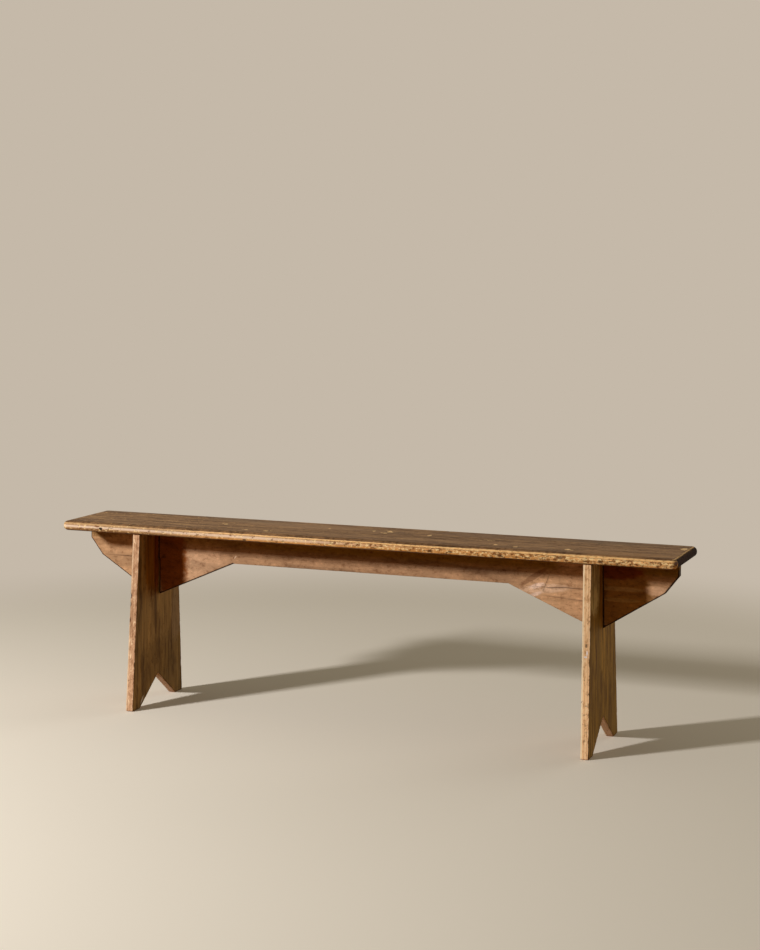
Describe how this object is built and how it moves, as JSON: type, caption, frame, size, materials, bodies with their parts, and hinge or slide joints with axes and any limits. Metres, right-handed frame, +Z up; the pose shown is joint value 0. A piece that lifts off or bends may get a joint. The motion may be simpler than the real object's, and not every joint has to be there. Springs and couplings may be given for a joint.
{
  "type": "bench",
  "caption": "Long, narrow farmhouse bench: a round-edged seat plank on notched board legs, cross-lapped with a shaped apron under the middle.",
  "frame": {"origin": "on the floor, under the middle of the seat", "axes": "+X along the seat towards the right end, +Y towards the back edge, +Z up"},
  "size_m": [1.56, 0.262, 0.465],
  "materials": {
    "seat_wood": "old dark grey-brown finish, worn to bare tan wood along the rounded edges",
    "apron_wood": "thin pinkish-brown wash over softwood, dry and matt",
    "leg_wood": "dry olive-brown softwood, paler at the worn edges",
    "nail_iron": "dark oxidised iron"
  },
  "bodies": {
    "root": {"seat_board": "seat_wood", "apron": "apron_wood", "left_leg": "leg_wood", "right_leg": "leg_wood", "nail_left_leg_1": "nail_iron", "nail_left_leg_2": "nail_iron", "nail_left_leg_3": "nail_iron", "nail_left_leg_4": "nail_iron", "nail_right_leg_1": "nail_iron", "nail_right_leg_2": "nail_iron", "nail_right_leg_3": "nail_iron", "nail_right_leg_4": "nail_iron", "nail_apron_1": "nail_iron", "nail_apron_2": "nail_iron", "nail_apron_3": "nail_iron", "nail_apron_4": "nail_iron", "nail_apron_5": "nail_iron"}
  },
  "joints": []
}
